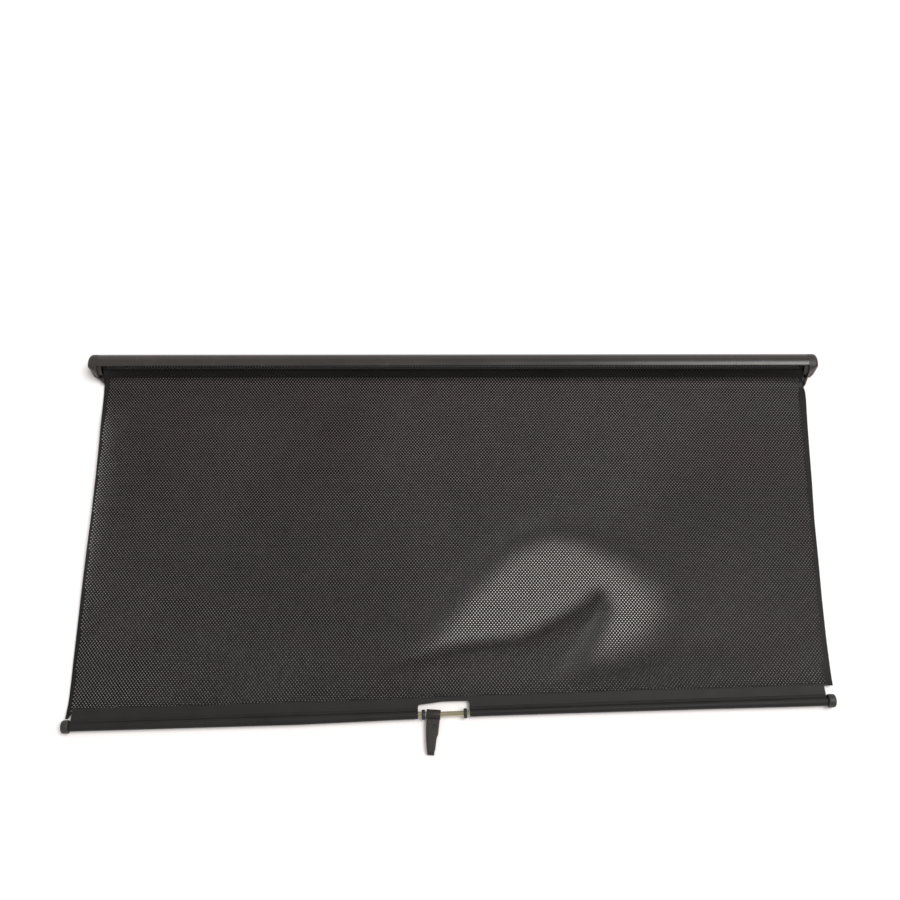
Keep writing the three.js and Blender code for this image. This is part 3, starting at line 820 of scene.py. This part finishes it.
# Pull tab
tab = {"barrel": 2.9, "barrelLength": 8.5, "bore": 2.0, "lean": 5.5, "length": 23.5, "hook": 1.8,
       "shoulder": 3.6, "step": 0.6, "tip": 2.05, "place": -8.6}


# Points measured from the middle of the barrel, along and across the leaning tab
def onTab(points):
    a = -math.radians(tab["lean"])
    c, s = math.cos(a), math.sin(a)
    return onBar([(tab["place"] + x * c - y * s, x * s + y * c, z) for x, y, z in points])


def pullTabPiece():
    wide = tab["barrelLength"] / 2
    radius, bore = tab["barrel"], tab["bore"]
    profile = [(bore, -wide), (radius - 0.35, -wide), (radius - 0.1, -wide + 0.1),
               (radius, -wide + 0.35), (radius, wide - 0.35), (radius - 0.1, wide - 0.1),
               (radius - 0.35, wide), (bore, wide), (bore, -wide)]
    barrel = turnedAboutX(profile, 64)
    # The tongue, as sections from the barrel to the tip
    waist = tab["shoulder"] - tab["step"]
    table = [  # distance, left half width, right half width, top, thickness
        (1.9, 4.05, 4.05, 0.5, 2.0),
        (3.0, 4.0, 4.0, 0.5, 2.0),
        (7.0, 3.85, 3.85, 0.45, 2.0),
        (11.4, 3.62, 3.65, 0.35, 2.0),
        (12.0, 3.58, 3.6, 0.32, 2.0),
        (12.9, 3.5, waist + 0.1, 0.3, 2.0),
        (14.5, 3.35, waist - 0.1, 0.27, 2.0),
        (17.0, 3.05, waist - 0.3, 0.2, 2.0),
        (20.0, 2.65, 2.55, 0.1, 2.0),
        (21.7, 2.25, 2.2, -0.05, 2.2),
    ]
    sides = 36
    rings = []

    def section(leftHalf, rightHalf, across):
        ring = []
        for k in range(sides):
            a = 2 * math.pi * k / sides
            u, v = squared(math.cos(a), 0.28), squared(math.sin(a), 0.28)
            x = u * (rightHalf if u > 0 else leftHalf)
            ring.append(across(x, v))
        return ring

    for distance, leftHalf, rightHalf, top, thick in table:
        rings.append(section(leftHalf, rightHalf,
                             lambda x, v, d=distance, t=top, h=thick: (x, -d, t - h / 2 + v * h / 2)))
    # The hook turns down to the surface
    length, hook = tab["length"], tab["hook"]
    for turn in (25, 50, 75, 90):
        a = math.radians(turn)
        cy, cz = -(length - hook), -0.1 - hook

        def bent(x, v, a=a, cy=cy, cz=cz):
            r = hook / 2 + 0.05 + v * hook / 2
            r = max(r, 0.05)
            return (x, cy - r * math.sin(a), cz + r * math.cos(a))

        rings.append(section(tab["tip"] + 0.05, tab["tip"] + 0.05, bent))

    def foot(x, v):
        return x, -(length - hook) - (hook / 2 + v * hook / 2), -place["rodHeight"] + 0.02

    rings.append(section(tab["tip"], tab["tip"], foot))
    points = [p for ring in rings for p in ring]
    tongue = (points, loftFaces(len(rings), sides))
    body = meshPiece("tab_body", onTab(barrel[0]), barrel[1])
    tonguePiece = meshPiece("tab_tongue", onTab(tongue[0]), tongue[1])
    cutWith(body, tonguePiece, "UNION")
    # A round dimple in the tongue's top
    dimple = turnedAboutX([(0, -0.6), (1.2, -0.6), (1.2, 0.6), (0, 0.6)], 32)
    standing = [(1.0 + y, -7.1 + z, 0.55 + x) for x, y, z in dimple[0]]
    cutWith(body, meshPiece("dimple", onTab(standing), dimple[1]))
    smoothed(body.data, 40)
    return body


dress(pullTabPiece(), "tab", "tab", "pull_tab")
print("tab made")

# Pieces whose solids already have the right shape
for node, slotName in {
    "spring_spindle": "steel", "spindle_collar": "bush", "collar_pin": "steel",
    "torsion_spring": "steel", "idler_pin": "steel", "roller_tube": "tube",
    "roller_bush_left": "bush", "roller_bush_right": "bush",
}.items():
    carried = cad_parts[node]
    for k in range(len(carried.data.materials)):
        carried.data.materials[k] = finishes[slotName]

# Floor, light and camera
light = {"world": 0.6, "sun": 1.75, "sunFrom": (0.44, 0.02, 0.9), "sunWidth": 34.0,
         "floor": (0.98, 0.945, 0.93), "box": (1.0, 0.94, 0.88)}
# Softboxes: place, size and power
softboxes = {
    "frontBox": ((0.45, -0.26, 1.0), (0.5, 0.16), 1.7),
    "backBox": ((-0.1, 0.9, 0.55), (1.4, 0.2), 0.6),
}


# The turn that points a lamp from a place to the origin
def facing(at):
    return Vector(at).to_track_quat("Z", "Y").to_euler()


def stagePieces():
    floorMesh = bpy.data.meshes.new("floor")
    far, z = 6.0, -0.00005
    corners = [(-far, -far, z), (far, -far, z), (far, far, z), (-far, far, z)]
    floorMesh.from_pydata(corners, [], [(0, 1, 2, 3)])
    floor = added("floor", floorMesh)
    paper = bpy.data.materials.new("whitePaper")
    paper.use_nodes = True
    shader = paper.node_tree.nodes["Principled BSDF"]
    shader.inputs["Base Color"].default_value = (*light["floor"], 1)
    shader.inputs["Roughness"].default_value = 0.9
    shader.inputs["Specular IOR Level"].default_value = 0.1
    floorMesh.materials.append(paper)
    world = bpy.data.worlds.new("studio")
    world.use_nodes = True
    background = world.node_tree.nodes["Background"]
    background.inputs["Color"].default_value = (1, 1, 1, 1)
    background.inputs["Strength"].default_value = light["world"]
    bpy.context.scene.world = world
    lamp = bpy.data.lights.new("window", "SUN")
    lamp.energy = light["sun"]
    lamp.angle = math.radians(light["sunWidth"])
    added("window", lamp).rotation_euler = facing(light["sunFrom"])
    for name, (at, size, power) in softboxes.items():
        lamp = bpy.data.lights.new(name, "AREA")
        lamp.shape = "RECTANGLE"
        lamp.size, lamp.size_y = size
        lamp.energy = power
        lamp.color = light["box"]
        box = added(name, lamp)
        box.location = at
        box.rotation_euler = facing(at)


# Place in metres, turn as an axis times its angle, and focal length
view = {"at": (0.01604, -0.37043, 0.66767), "turn": (0.4348, 0.0211, 0.0055), "lens": 43.8}


def cameraPiece():
    lens = bpy.data.cameras.new("camera")
    lens.lens = view["lens"]
    lens.sensor_width = 36.0
    lens.clip_start = 0.01
    camera = added("camera", lens)
    camera.location = view["at"]
    turn = Vector(view["turn"])
    camera.rotation_euler = Quaternion(turn.normalized(), turn.length).to_euler()
    bpy.context.scene.camera = camera


stagePieces()
cameraPiece()
bpy.context.scene.view_settings.view_transform = "Standard"
print("stage made")
